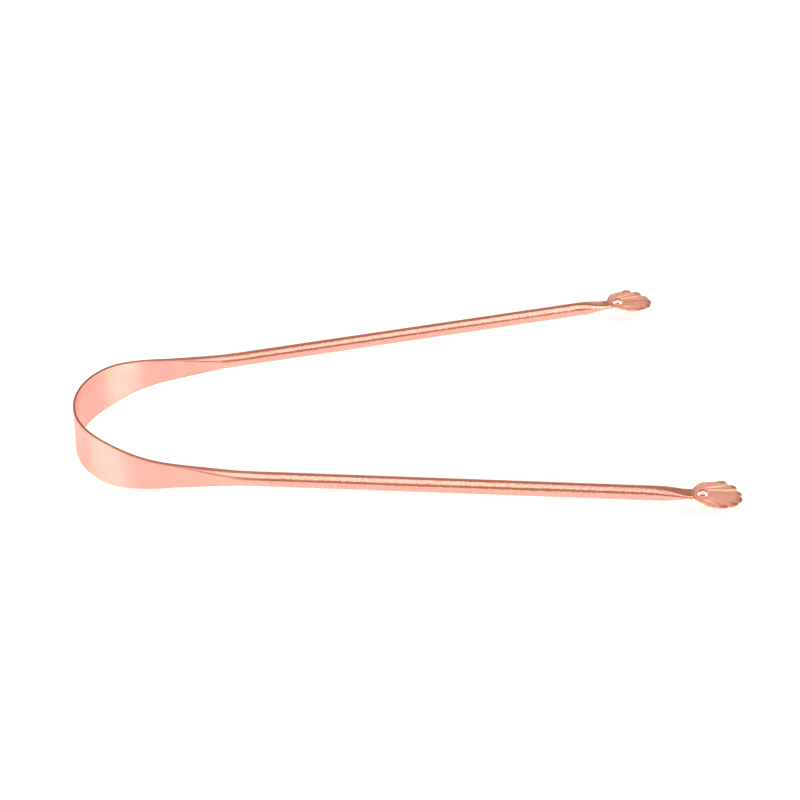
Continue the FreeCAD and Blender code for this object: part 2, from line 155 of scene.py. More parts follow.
class ShellSizes(bpy.types.PropertyGroup):
    """The scallop thumb rests, measured from the middle of their round rim."""

    radius: length("Radius", "Radius of the rim over its lobes", 6.1)
    reach: length("Reach", "From the rim's middle back to the straight root", 5.2)
    root_width: length("Root width", "Width of the straight root", 3.3)
    flank_radius: length("Flank radius", "Radius of the two bowed flanks", 5.75)
    lobe_angle: angle("Lobe angle", "Angle of one lobe about the rim's middle", 29.0)
    notch_depth: length("Notch depth", "How far the notches between the lobes go in", 0.42)
    thickness: length("Thickness", "Thickness of the stamped sheet", 0.45)
    rim_thickness: length("Rim thickness", "Thickness of the sheet at its rim", 0.3)
    crown_start: length("Crown start", "How far past the rivet the shell stays level", 1.33)
    crown_radius: length("Crown radius", "Radius of the fall from there to the tip", 57.0)
    cup_radius: length("Cup radius", "Radius of the slight rise towards both sides", 120.0)
    flute_depth: length("Flute depth", "Height of the steps between the ribs", 0.36)
    rim_round: length("Rim rounding", "Rounding of the sheet's edge", 0.16)
    hole_radius: length("Hole radius", "Radius of the rivet's hole", 0.83)
    rivet_setback: length("Rivet setback", "From the rim's middle back to the rivet", 2.97)


class RivetSizes(bpy.types.PropertyGroup):
    """The domed rivets."""

    head_radius: length("Head radius", "Radius of the domed head", 1.45)
    head_height: length("Head height", "Height of the domed head", 1.1)
    shank_radius: length("Shank radius", "Radius of the shank", 0.8)
    tail_radius: length("Tail radius", "Radius of the tail under the tongue", 1.3)
    tail_height: length("Tail height", "Height of the tail under the tongue", 0.3)
    tail_round: length("Tail rounding", "Rounding of the tail's lower edge", 0.06)


class CopperLook(bpy.types.PropertyGroup):
    """Colours and finish of the bare copper, with the painted shade on the strip's narrow edges and at the
    shells' lobe tips.
    """

    bright: tint("Bright copper", "Freshly polished copper", 0.95, 0.515, 0.44)
    warm: tint("Warm copper", "Slightly darkened copper", 0.93, 0.475, 0.39)
    drawn: tint("Drawn copper", "Copper of the drawn rods", 0.92, 0.44, 0.355)
    pale: tint("Pale copper", "Stamped copper of the shells", 1.0, 0.555, 0.39)
    # Real tarnish in scratches, pits and specks, and also the colour of the painted shade on the strip's
    # narrow edges.
    tarnish: tint("Tarnish", "Copper in grooves and handling marks", 0.6, 0.22, 0.13)
    # Painted shade at the tips of the shells' lobes.
    tip_painted_shade: tint("Tip tarnish", "Dark copper at the tips of the shells' lobes", 0.5, 0.175, 0.105)
    strip_roughness: share("Strip roughness", "Roughness of the brushed strip", 0.37)
    brushing: share("Brushing", "How far its fine lines stretch reflections", 0.92)
    polish_length: length("Polish length", "How far along the rods the brushing eases to a polish", 24.0)
    # How far along the rods the painted shade on the strip's narrow edges fades.
    edge_shade_fade: length("Edge fade", "How far along the rods the dark cut edges fade", 16.0)
    rod_roughness: share("Rod roughness", "Roughness of the drawn rods", 0.125)
    shell_roughness: share("Shell roughness", "Roughness of the stamped shells", 0.42)
    shell_metal: share("Shell metal", "How much bare metal shows through the shells' dull film", 0.72)
    rivet_roughness: share("Rivet roughness", "Roughness of the polished rivets", 0.16)


class StudioLook(bpy.types.PropertyGroup):
    """The white sweep, the lamps and the camera."""

    sweep: tint("Sweep", "Colour of the floor and of the low backdrop", 1.0, 1.0, 1.0)
    ceiling: tint("Ceiling", "Colour of the room above the backdrop", 0.47, 0.36, 0.29)
    backdrop_angle: angle("Backdrop angle", "How high the white backdrop reaches beside the tool", 7.0)
    backdrop_lean: angle("Backdrop lean", "How much higher it is behind the tool, and lower in front", 7.0)
    lamp_strength: strength("Lamp strength", "Brightness of the overhead lamps, where 1 is white", 1.4)
    side_strength: strength("Side strength", "Brightness of the side lamps, where 1 is white", 3.2)
    floor_fill: share("Floor fill", "How much the floor glows for the camera and in the copper", 0.66)
    focal_length: bpy.props.FloatProperty(
        name="Focal length", description="Lens of the camera", default=106.2, min=1.0,
        subtype="DISTANCE_CAMERA", unit="CAMERA")
    camera_place: bpy.props.FloatVectorProperty(
        name="Camera place", description="Where the camera stands", default=(-0.0562, -0.49146, 0.28428),
        precision=5, subtype="TRANSLATION", unit="LENGTH")
    heading: angle("Heading", "How far the camera looks from +Y towards +X", 6.856)
    tilt: angle("Tilt", "How far the camera looks down", 29.2064)


def smooth(low, high, value):
    """Eases from 0 at low to 1 at high."""
    portion = min(max((value - low) / (high - low), 0.0), 1.0)
    return portion * portion * (3 - 2 * portion)


def eased(stops, place):
    """A smooth curve through stops, each a place, a value and a slope."""
    for (start, first, leaving), (end, last, arriving) in zip(stops, stops[1:]):
        if place <= end:
            span = end - start
            t = max(place - start, 0.0) / span
            return (first * (1 + 2 * t) * (1 - t) ** 2 + last * t * t * (3 - 2 * t)
                    + span * (leaving * t * (1 - t) ** 2 - arriving * t * t * (1 - t)))
    return stops[-1][1]


def steps(start, end, count):
    """Evenly spaced numbers from start to end."""
    return [start + (end - start) * index / count for index in range(count + 1)]


def stretched_steps(start, *stretches):
    """Numbers from start on, to the end of each stretch in its own count of even steps."""
    places = [start]
    for end, count in stretches:
        places += steps(places[-1], end, count)[1:]
    return places


# How far the rod's thickness has grown along the shoulder, from the split to the round rod.
SHOULDER_GROWTH = ((0.0, 0.0, 0.22), (0.25, 0.22, 1.35), (0.5, 0.63, 1.4), (0.75, 0.93, 0.65),
                   (1.0, 1.0, 0.0))
# How far the pressed end has thinned and widened, from the round rod to the neck.
PRESSED_THINNING = ((0.0, 0.0, 0.3), (0.5, 0.32, 1.2), (1.0, 1.0, 1.0))
PRESSED_WIDENING = ((0.0, 0.0, 3.0), (0.5, 1.6, 1.0), (1.0, 1.0, -2.0))

# A section's flat sides, rounded corners and flat ends: their angles on a round rod, and their spots.
SIDE_ANGLE = math.radians(45)
CORNER_ANGLE = math.radians(30)
SIDE_PLACES = (-1.0, -0.98, -0.94, -0.8, -0.6, -0.4, -0.2, 0.0, 0.2, 0.4, 0.6, 0.8, 0.94, 0.98)
CORNER_STEPS = 5
END_PLACES = (1.0, 0.6, 0.2, -0.2, -0.6)


def half_outline():
    """Half of a section's outline: one flat side, a corner, a flat end and a corner.

    Each spot has its angle on a squared section, its pulls to the side and the end, and its angle on a rod.
    """
    right = math.pi / 2
    end_angle = right - SIDE_ANGLE - CORNER_ANGLE
    corner = steps(0.0, 1.0, CORNER_STEPS)[:-1]
    spots = [(0.0, 1.0, pull, pull * SIDE_ANGLE) for pull in SIDE_PLACES]
    spots += [(part * right, 1.0, 1.0, SIDE_ANGLE + part * CORNER_ANGLE) for part in corner]
    spots += [(right, pull, 1.0, right - pull * end_angle) for pull in END_PLACES]
    spots += [(right + part * right, -1.0, 1.0, right + end_angle + part * CORNER_ANGLE) for part in corner]
    return spots


HALF_SECTION = half_outline()
SECTION = HALF_SECTION + [(bend + math.pi, -side, -end, turn + math.pi)
                          for bend, side, end, turn in HALF_SECTION]


def section_spot(index, half_width, half_height, rounding, roundness):
    """Where a spot of the section lies: across the arm and up, from squared to round by its roundness."""
    bend, side, end, turn = SECTION[index]
    around = bend + (turn - bend) * roundness
    across = rounding * math.cos(around) + (half_width - rounding) * side
    upward = rounding * math.sin(around) + (half_height - rounding) * end
    return across, upward


def start_ring(count):
    """A ring of edges, with layers for each vertex's place around and along the piece."""
    bm = bmesh.new()
    around = bm.verts.layers.int.new("around")
    along = bm.verts.layers.float.new("along")
    made = bmesh.ops.create_circle(bm, cap_ends=False, segments=count, radius=MM)
    for index, vert in enumerate(made["verts"]):
        vert[around] = index
        vert[along] = 0.0
    return bm


def extrude_ring(bm, ring):
    """Extrudes a ring of edges, and gives the new ring's vertices and edges."""
    made = bmesh.ops.extrude_edge_only(bm, edges=ring)["geom"]
    verts = {item for item in made if isinstance(item, bmesh.types.BMVert)}
    edges = [item for item in made if isinstance(item, bmesh.types.BMEdge) and verts.issuperset(item.verts)]
    return verts, edges


def sweep(bm, shape, stations, places):
    """Extrudes the first ring through the stations. shape gives the spot of an index at a station."""
    around = bm.verts.layers.int["around"]
    along = bm.verts.layers.float["along"]
    verts = list(bm.verts)
    ring = list(bm.edges)
    for index, (station, place) in enumerate(zip(stations, places)):
        if index:
            verts, ring = extrude_ring(bm, ring)
        for vert in verts:
            vert.co = shape(vert[around], station)
            vert[along] = place


def close_ends(bm):
    """Fills the open ends and keeps their edges sharp."""
    open_edges = [edge for edge in bm.edges if edge.is_boundary]
    bmesh.ops.holes_fill(bm, edges=open_edges, sides=0)
    for edge in open_edges:
        edge.smooth = False


def lay_uv(bm):
    """A UV map of the place around the section and along the piece."""
    count = len(SECTION)
    around = bm.verts.layers.int["around"]
    along = bm.verts.layers.float["along"]
    uv = bm.loops.layers.uv.new("UVMap")
    for face in bm.faces:
        turns = [loop.vert[around] for loop in face.loops]
        wraps = max(turns) - min(turns) > count / 2
        for loop, turn in zip(face.loops, turns):
            if wraps and turn < count / 2:
                turn += count
            loop[uv].uv = (turn / count, loop.vert[along])


def swept_bar(shape, stations, places):
    """A closed bar with the section's outline, swept through the stations."""
    bm = start_ring(len(SECTION))
    sweep(bm, shape, stations, places)
    lay_uv(bm)
    close_ends(bm)
    return bm


def add_object(context, name, data):
    made = bpy.data.objects.new(name, data)
    context.scene.collection.objects.link(made)
    return made


def add_mesh(context, bm, name, material):
    """Makes the mesh an object of the scene."""
    mesh = bpy.data.meshes.new(name)
    bm.to_mesh(mesh)
    bm.free()
    mesh.materials.append(material)
    return add_object(context, name, mesh)


def finish_piece(context, bm, name, side, material):
    """Turns the mesh over for the right arm and smooths it, with its faces outwards."""
    if side < 0:
        bmesh.ops.scale(bm, vec=(1, -1, 1), verts=bm.verts)
    bmesh.ops.recalc_face_normals(bm, faces=bm.faces)
    for face in bm.faces:
        face.smooth = True
    return add_mesh(context, bm, name, material)


class ArmShape:
    """The bow and the left arm as formulas, from the sizes in the sidebar."""

    # Where along the shoulder its edges soften and its section turns round.
    SOFTENING_SHARES = (0.05, 0.85)
    ROUNDING_SHARES = (0.35, 1.0)
    # How round the neck and the tongue stay, and where along the pressed slope the rod has got there.
    NECK_ROUNDNESS = 0.4
    NECK_SHARE = 0.8
    # The rounding of the tongue's edges in its half thickness, and where its round end stops short.
    TONGUE_ROUNDING_SHARE = 0.6
    TONGUE_END_SHARE = 0.995

    def __init__(self, scene):
        self.bow = bow = scene.scraper_bow
        self.rod = rod = scene.scraper_rod
        self.rod_radius = rod.diameter / 2
        self.outer_radius = bow.bend_radius + bow.thickness / 2
        self.end_angle = math.pi / 2 - bow.arm_angle
        hinge_radius = self.outer_radius - bow.split_thickness / 2
        self.forward = Vector((math.cos(bow.arm_angle), math.sin(bow.arm_angle), 0))
        self.outward = Vector((-math.sin(bow.arm_angle), math.cos(bow.arm_angle), 0))
        hinge_x = self.outer_radius - hinge_radius * math.sin(bow.arm_angle)
        self.hinge = Vector((FRONT_X + hinge_x, hinge_radius * math.cos(bow.arm_angle), MID_Z))
        self.shoulder_length = (bow.taper_end - hinge_x) / math.cos(bow.arm_angle)
        self.neck_start = rod.rod_end + rod.flatten_length
        self.shell_root = self.neck_start + rod.neck_length
        self.rivet_along = (RIVET_AXIS - self.hinge).dot(self.forward)
        drop = (BAND_HIGH.z - BAND_LOW.z - rod.diameter) / 2
        run = bow.taper_end - bow.taper_start
        curve = (run * run + drop * drop) / (2 * drop)
        self.early_radius = bow.taper_turn * curve
        self.late_radius = (1 - bow.taper_turn) * curve
        self.turn_x = bow.taper_start + bow.taper_turn * run

    def half_height(self, x):
        """Half the strip's height at a place on X: full, then two tangent curves down to the rod."""
        from_front = x - FRONT_X
        if from_front <= self.bow.taper_start:
            return BAND_HIGH.z - MID_Z
        if from_front <= self.turn_x:
            gone = from_front - self.bow.taper_start
            fall = self.early_radius - math.sqrt(self.early_radius ** 2 - gone * gone)
            return BAND_HIGH.z - MID_Z - fall
        left = max(self.bow.taper_end - from_front, 0.0)
        return self.rod_radius + self.late_radius - math.sqrt(self.late_radius ** 2 - left * left)

    def bow_spot(self, index, turn):
        """A spot on the strip, at an angle from the bow's front."""
        part = (1 - math.cos(turn)) / (1 - math.cos(self.end_angle))
        thickness = self.bow.thickness + (self.bow.split_thickness - self.bow.thickness) * part
        rounding = self.bow.edge_round + (self.bow.split_round - self.bow.edge_round) * part
        across, _ = section_spot(index, thickness / 2, rounding, rounding, 0.0)
        away = self.outer_radius - thickness / 2 + across
        x = FRONT_X + self.outer_radius - away * math.cos(turn)
        _, upward = section_spot(index, thickness / 2, self.half_height(x), rounding, 0.0)
        return Vector((x, away * math.sin(turn), MID_Z + upward))

    def arm_place(self, along, across, upward):
        return self.hinge + self.forward * along + self.outward * across + Vector((0, 0, upward))

    def rod_spot(self, index, along):
        """A spot on the rod from the split to the shell's root: shoulder, round rod and pressed end."""
        if along < self.shoulder_length:
            return self.shoulder_spot(index, along)
        part = (along - self.rod.rod_end) / self.rod.flatten_length
        thin = eased(PRESSED_THINNING, part)
        wide = eased(PRESSED_WIDENING, part)
        half_height = self.rod_radius + (self.rod.neck_thickness / 2 - self.rod_radius) * thin
        half_width = self.rod_radius + (self.rod.neck_width / 2 - self.rod_radius) * wide
        roundness = 1 - (1 - self.NECK_ROUNDNESS) * smooth(0.0, self.NECK_SHARE, part)
        across, upward = section_spot(index, half_width, half_height, half_height, roundness)
        return self.arm_place(along, across, upward)

    def shoulder_spot(self, index, along):
        part = along / self.shoulder_length
        growth = eased(SHOULDER_GROWTH, part)
        start = self.bow.split_thickness / 2
        half_width = start + (self.rod_radius - start) * growth
        squared = half_width * (self.bow.split_round / start)
        rounding = squared + (half_width - squared) * smooth(*self.SOFTENING_SHARES, part)
        roundness = smooth(*self.ROUNDING_SHARES, part)
        across, _ = section_spot(index, half_width, rounding, rounding, roundness)
        x = self.arm_place(along, across, 0.0).x
        half_height = max(self.half_height(x), rounding)
        _, upward = section_spot(index, half_width, half_height, rounding, roundness)
        return self.arm_place(along, across, upward)

    def tongue_spot(self, index, along):
        """A spot on the tongue under the shell, round-ended about the rivet."""
        half_width = self.rod.tongue_width / 2
        past = min(max(along - self.rivet_along, 0.0) / half_width, self.TONGUE_END_SHARE)
        half_width *= math.sqrt(1 - past * past)
        half_height = self.rod.tongue_thickness / 2
        rounding = min(half_height * self.TONGUE_ROUNDING_SHARE, half_width)
        across, upward = section_spot(index, half_width, half_height, rounding, self.NECK_ROUNDNESS)
        return self.arm_place(along, across, upward + half_height - self.rod.neck_thickness / 2)

    def handle_spot(self, index, station):
        form, along = station
        return self.rod_spot(index, along) if form == "rod" else self.tongue_spot(index, along)


class ShellShape:
    """The left shell as formulas: its scalloped outline about the rivet, its crown and its flutes."""

    LOBES = 6
    LOBE_STEPS = 28
    FLANK_STEPS = 24
    ROOT_STEPS = 8
    TOP_STEPS = 52
    EDGE_STEPS = 8
    UNDER_STEPS = 14
    # The rounded edge's length in the UV map, where the top's is 1.
    EDGE_SPAN = 0.2
    # How wide the fan of ribs is beside the rivet, what it gains evenly, and how late the rest flares out.
    FAN_START = 0.45
    FAN_GAIN = 0.25
    FLARE_POWER = 5
    # How much of a lobe its rising inner side takes, and how steep the rise and the fall past it are.
    RISE_SHARE = 0.36
    RISE_POWER = 3
    FALL_POWER = 1.5
    # Where along a rib its steps fade in, and how much of their full height they have at first.
    FADE_SHARES = (0.02, 0.25)
    FIRST_SHARE = 0.6
    # Where on the way to the rim the sheet starts to thin.
    THINNING_SHARE = 0.75
    # How often the search for a rib's angle halves its range.
    HALVINGS = 24

    def __init__(self, scene, arm):
        self.shell = shell = scene.scraper_shell
        self.arm = arm
        self.seat = arm.rod.tongue_thickness - arm.rod.neck_thickness / 2
        self.rib_radius = shell.radius - shell.notch_depth / 2
        self.last_notch = self.LOBES * shell.lobe_angle / 2
        self.rim = self.rim_spots()

    def crown(self, spot):
        """The height of the shell's top, from the rivet: level, falling to the tip, cupped across."""
        radius = self.shell.crown_radius
        past = max(spot.x - self.shell.crown_start, 0.0)
        fall = radius - math.sqrt(radius * radius - past * past)
        return self.seat + self.shell.thickness - fall + spot.y * spot.y / (2 * self.shell.cup_radius)

    def rim_spots(self):
        """The outline from the root's far corner round the lobes, as spots from the rivet."""
        shell = self.shell
        inner = shell.radius - shell.notch_depth
        half = shell.lobe_angle / 2
        half_chord = inner * math.sin(half)
        rise = shell.radius - inner * math.cos(half)
        lobe_radius = (half_chord ** 2 + rise ** 2) / (2 * rise)
        lobe_sweep = math.asin(half_chord / lobe_radius)
        root = Vector((-shell.reach, -shell.root_width / 2))
        first = Vector((math.cos(self.last_notch), -math.sin(self.last_notch))) * inner
        flank = self.flank_arc(root, first)
        spots = list(flank)
        for lobe in range(self.LOBES):
            middle = (lobe - (self.LOBES - 1) / 2) * shell.lobe_angle
            centre = Vector((math.cos(middle), math.sin(middle))) * (shell.radius - lobe_radius)
            for step in range(self.LOBE_STEPS):
                turn = middle - math.cos(math.pi * step / self.LOBE_STEPS) * lobe_sweep
                spots.append(centre + Vector((math.cos(turn), math.sin(turn))) * lobe_radius)
        spots += [Vector((spot.x, -spot.y)) for spot in (first, *reversed(flank[1:]))]
        spots += [Vector((root.x, y)) for y in steps(-root.y, root.y, self.ROOT_STEPS)[:-1]]
        to_rivet = Vector((shell.rivet_setback, 0))
        return [spot + to_rivet for spot in spots]

    def rib_portion(self, angle, x):
        """How much of its way a rib has gone at a place past the rivet, by its angle at the rim."""
        return min(max(x / (self.shell.rivet_setback + self.rib_radius * math.cos(angle)), 0.0), 1.0)

    def rib_side(self, angle, x):
        """How far it is there from the middle line: nearly straight, then flaring to the rim."""
        portion = self.rib_portion(angle, x)
        flare = (1 - self.FAN_START - self.FAN_GAIN) * portion ** self.FLARE_POWER
        return self.rib_radius * math.sin(angle) * (self.FAN_START + self.FAN_GAIN * portion + flare)

    def rib_angle(self, flat):
        """The angle of the rim, on either side, where the rib through a spot ends: found by halving."""
        low = 0.0
        high = self.last_notch
        for _ in range(self.HALVINGS):
            middle = (low + high) / 2
            if self.rib_side(middle, flat.x) < abs(flat.y):
                low = middle
            else:
                high = middle
        return low

    def fall(self, flat):
        """How far the ribs lower the top at a spot: each rises on its inner side, then falls outwards.

        The lobes beside the shell's middle line have no rising side.
        """
        angle = self.rib_angle(flat)
        lobes = angle / self.shell.lobe_angle
        lobe = min(int(lobes), self.LOBES // 2 - 1)
        outward = lobes - lobe
        rise = self.RISE_SHARE if lobe else 0.0
        if outward < rise:
            shape = (1 - outward / rise) ** self.RISE_POWER
        else:
            shape = ((outward - rise) / (1 - rise)) ** self.FALL_POWER
        portion = self.rib_portion(angle, flat.x)
        depth = self.shell.flute_depth * (self.FIRST_SHARE + (1 - self.FIRST_SHARE) * portion)
        return depth * shape * smooth(*self.FADE_SHARES, portion)

    def flank_arc(self, root, notch):
        """Spots on the bowed flank from the root up to the last notch, which is left out."""
        radius = self.shell.flank_radius
        chord = notch - root
        outward = Vector((chord.y, -chord.x)).normalized()
        depth = math.sqrt(radius * radius - chord.length_squared / 4)
        centre = (root + notch) / 2 - outward * depth
        sweep_half = math.asin(chord.length / 2 / radius)
        spots = []
        for turn in steps(-sweep_half, sweep_half, self.FLANK_STEPS)[:-1]:
            way = outward * math.cos(turn) + chord.normalized() * math.sin(turn)
            spots.append(centre + way * radius)
        return spots

    def stations(self):
        """Rings from the hole out over the top, round the rim and back underneath."""
        over = [("top", part) for part in steps(0.0, 1.0, self.TOP_STEPS)]
        bend = [("edge", turn) for turn in steps(0.0, math.pi, self.EDGE_STEPS)[1:-1]]
        under = [("bottom", part) for part in steps(1.0, 0.0, self.UNDER_STEPS)]
        return over + bend + under + [("top", 0.0)]

    def place(self, station):
        """A ring's place in the UV map: 0 at the hole, 1 at the top of the rim, then on underneath."""
        form, value = station
        if form == "edge":
            return 1.0 + self.EDGE_SPAN * value / math.pi
        return value if form == "top" else 2.0 + self.EDGE_SPAN - value

    def spot(self, index, station):
        form, value = station
        rim = self.rim[index]
        way = rim.normalized()
        rounding = self.shell.rim_round
        reach = rim.length - rounding
        part = 1.0 if form == "edge" else value
        away = self.shell.hole_radius + (reach - self.shell.hole_radius) * part
        top = self.crown(way * away) - self.fall(way * away)
        upward = top
        if form == "edge":
            away = reach + rounding * math.sin(value)
            upward = top - self.shell.rim_thickness / 2 * (1 - math.cos(value))
        if form == "bottom":
            thinning = self.shell.thickness - self.shell.rim_thickness
            upward = top - self.shell.thickness + thinning * smooth(self.THINNING_SHARE, 1.0, part)
        flat = way * away
        return self.arm.arm_place(self.arm.rivet_along + flat.x, flat.y, upward)

    def lay_ribs(self, bm):
        """A UV map of the rib's angle on either side, and of the place from the hole to the rim."""
        along = bm.verts.layers.float["along"]
        uv = bm.loops.layers.uv.new("UVMap")
        for vert in bm.verts:
            from_rivet = vert.co - RIVET_AXIS
            flat = Vector((from_rivet.dot(self.arm.forward), from_rivet.dot(self.arm.outward)))
            rib = math.copysign(self.rib_angle(flat), flat.y)
            for loop in vert.link_loops:
                loop[uv].uv = (rib, vert[along])


# The places of a Mix node's colour sockets.
MIX_FIRST, MIX_SECOND, MIX_RESULT = 6, 7, 2

# Noise scales in waves per metre. Lines have one across them, one along them and one around the piece.
HAIR_SCALES = (13000.0, 180.0, 3.0)
SCRATCH_SCALES = (4200.0, 75.0, 3.0)
STRIP_CLOUDS = 190.0
STRIP_SPECKS = 1500.0
ROD_PITS = 2600.0
SHELL_CLOUDS = 420.0
SHELL_GRAIN = 2600.0
RIVET_CLOUDS = 600.0
RIVET_GRAIN = 3200.0
# Noise scales per radian of the ribs' angles, and from the hole to the rim.
RAY_SCALES = (9.0, 0.8, 1.0)

# What noise turns into: its own range, then the range of the share that it stands for.
CLOUD_MIX = ((0.35, 0.7), (0.0, 1.0))
SCRATCH_TARNISH = ((0.56, 0.76), (0.0, 0.3))
PIT_TARNISH = ((0.48, 0.72), (0.0, 0.6))
SPECK_TARNISH = ((0.66, 0.76), (0.0, 0.4))
RAY_TARNISH = ((0.5, 0.6), (0.0, 0.6))
RIVET_TARNISH = ((0.62, 0.75), (0.0, 0.4))
HAIR_ROUGHNESS = ((0.25, 0.75), (0.82, 1.18))
GRAIN_RANGE = (0.3, 0.7)
SHELL_UNEVENNESS = (-0.06, 0.06)
RIVET_UNEVENNESS = (-0.04, 0.06)
# How dark the painted shade on the strip's narrow edges is at the split, standing in for the dark room they
# reflect, and how much of the scratches the rods keep.
EDGE_PAINTED_SHADE = 0.9
ROD_SCRATCHES = 0.35
# Where the painted shade at the lobes' tips starts on the way to the rim, and where it comes and goes across
# each lobe.
TIP_START = (0.8, 0.97)
TIP_COMES = (0.05, 0.3)
TIP_GOES = (0.6, 0.95)

# How strong and how deep the bumps are.
HAIR_BUMP = {"Strength": 0.16, "Distance": 0.03 * MM}
PIT_BUMP = {"Strength": 0.9, "Distance": 0.05 * MM}
RAY_BUMP = {"Strength": 0.6, "Distance": 0.05 * MM}


def connect(tree, value, socket):
    """Links a socket to another node's output, or sets it to a value."""
    if isinstance(value, bpy.types.NodeSocket):
        tree.links.new(value, socket)
    else:
        socket.default_value = value


def set_inputs(tree, shader, **inputs):
    """Sets or links a node's inputs, named with underscores for spaces."""
    for name, value in inputs.items():
        connect(tree, value, shader.inputs[name.replace("_", " ")])


def node(tree, kind, **inputs):
    made = tree.nodes.new(kind)
    set_inputs(tree, made, **inputs)
    return made


def noise(tree, vector, scale, detail):
    return node(tree, "ShaderNodeTexNoise", Vector=vector, Scale=scale, Detail=detail).outputs["Fac"]


def line_noise(tree, vector, scales, detail):
    """Noise drawn out into lines by a scale for each axis."""
    mapping = node(tree, "ShaderNodeMapping", Vector=vector, Scale=scales)
    return noise(tree, mapping.outputs["Vector"], 1.0, detail)


def ranged(tree, value, old, new=(0.0, 1.0)):
    """A number taken from one range to another, and kept inside it."""
    made = node(tree, "ShaderNodeMapRange", Value=value, From_Min=old[0], From_Max=old[1],
                To_Min=new[0], To_Max=new[1])
    return made.outputs["Result"]


def opaque(colour):
    return (colour[0], colour[1], colour[2], 1.0)


def mixed(tree, factor, first, second):
    """Two colours mixed, each from the sidebar or from another node."""
    made = node(tree, "ShaderNodeMix", Factor=factor)
    made.data_type = "RGBA"
    for place, colour in ((MIX_FIRST, first), (MIX_SECOND, second)):
        value = opaque(colour) if isinstance(colour, Color) else colour
        connect(tree, value, made.inputs[place])
    return made.outputs[MIX_RESULT]


def clouded(tree, vector, scale, first, second):
    """Two colours mixed in soft clouds."""
    cloud = noise(tree, vector, scale, 3.0)
    return mixed(tree, ranged(tree, cloud, *CLOUD_MIX), first, second)


def calculated(tree, operation, first, second=0.0):
    """A number worked out from one or two others."""
    made = tree.nodes.new("ShaderNodeMath")
    made.operation = operation
    connect(tree, first, made.inputs[0])
    connect(tree, second, made.inputs[1])
    return made.outputs[0]


def product(tree, first, second):
    return calculated(tree, "MULTIPLY", first, second)


def copper_material(name):
    """A material with its nodes and its shader."""
    material = bpy.data.materials.new(name)
    material.use_nodes = True
    tree = material.node_tree
    return material, tree, tree.nodes["Principled BSDF"]


def edge_share(tree, around):
    """1 on the narrow edges of the section and 0 on its flat sides, from the place around it."""
    half_turn = calculated(tree, "FRACT", product(tree, around, 2.0))
    corner = len(SIDE_PLACES)
    return ranged(tree, half_turn, [spot / len(HALF_SECTION) for spot in (corner - 2, corner)])


def lined_copper(name, look):
    """Copper with lines along the piece: brushed on the strip, easing to the polish of the drawn rods.

    The UV map's second number is the distance from the split, negative on the strip.
    """
    material, tree, shader = copper_material(name)
    coordinates = tree.nodes.new("ShaderNodeTexCoord")
    place = coordinates.outputs["Object"]
    spot = node(tree, "ShaderNodeSeparateXYZ", Vector=place)
    run = node(tree, "ShaderNodeSeparateXYZ", Vector=coordinates.outputs["UV"])
    around = run.outputs["X"]
    along = run.outputs["Y"]
    lines = node(tree, "ShaderNodeCombineXYZ", X=spot.outputs["Z"], Y=along, Z=around)
    hair = line_noise(tree, lines.outputs["Vector"], HAIR_SCALES, 3.0)
    scratch = line_noise(tree, lines.outputs["Vector"], SCRATCH_SCALES, 2.0)
    speck = noise(tree, place, STRIP_SPECKS, 2.0)
    brushed = ranged(tree, along, (0.0, look.polish_length), (1.0, 0.0))
    polished = ranged(tree, along, (0.0, look.polish_length))
    pits = product(tree, noise(tree, place, ROD_PITS, 2.0), polished)
    kept = ranged(tree, brushed, (0.0, 1.0), (ROD_SCRATCHES, 1.0))
    scratches = product(tree, ranged(tree, scratch, *SCRATCH_TARNISH), kept)
    # Painted shade on the strip's narrow edges, full on the strip and fading along the rods.
    fade = ranged(tree, along, (0.0, look.edge_shade_fade), (EDGE_PAINTED_SHADE, 0.0))
    edges = product(tree, edge_share(tree, around), fade)
    strip = clouded(tree, place, STRIP_CLOUDS, look.bright, look.warm)
    colour = mixed(tree, brushed, look.drawn, strip)
    # Real pits, scratches and specks, then the painted shade on the narrow edges, each mixed towards the
    # tarnish colour.
    for marks in (ranged(tree, pits, *PIT_TARNISH), scratches, ranged(tree, speck, *SPECK_TARNISH), edges):
        colour = mixed(tree, marks, colour, look.tarnish)
    base = ranged(tree, brushed, (0.0, 1.0), (look.rod_roughness, look.strip_roughness))
    rough = product(tree, base, ranged(tree, hair, *HAIR_ROUGHNESS))
    brushing = node(tree, "ShaderNodeBump", Height=hair, **HAIR_BUMP)
    pitting = node(tree, "ShaderNodeBump", Height=pits, Normal=brushing.outputs["Normal"], **PIT_BUMP)
    across = tree.nodes.new("ShaderNodeTangent")
    across.direction_type = "UV_MAP"
    across.uv_map = "UVMap"
    set_inputs(tree, shader, Base_Color=colour, Metallic=1.0, Roughness=rough, Anisotropic=look.brushing,
               Normal=pitting.outputs["Normal"], Tangent=across.outputs["Tangent"])
    return material


def lobe_tip_shade(tree, rib, lobe_angle):
    """Where the painted shade falls across a lobe: 1 across the middle of each lobe and 0 at the notches,
    from a rib's angle.
    """
    lobes = calculated(tree, "DIVIDE", calculated(tree, "ABSOLUTE", rib), lobe_angle)
    across = calculated(tree, "FRACT", lobes)
    return product(tree, ranged(tree, across, TIP_COMES), ranged(tree, across, TIP_GOES, (1.0, 0.0)))


def grain_roughness(tree, grain, roughness, unevenness):
    """A roughness that varies with the grain."""
    return ranged(tree, grain, GRAIN_RANGE, [roughness + change for change in unevenness])


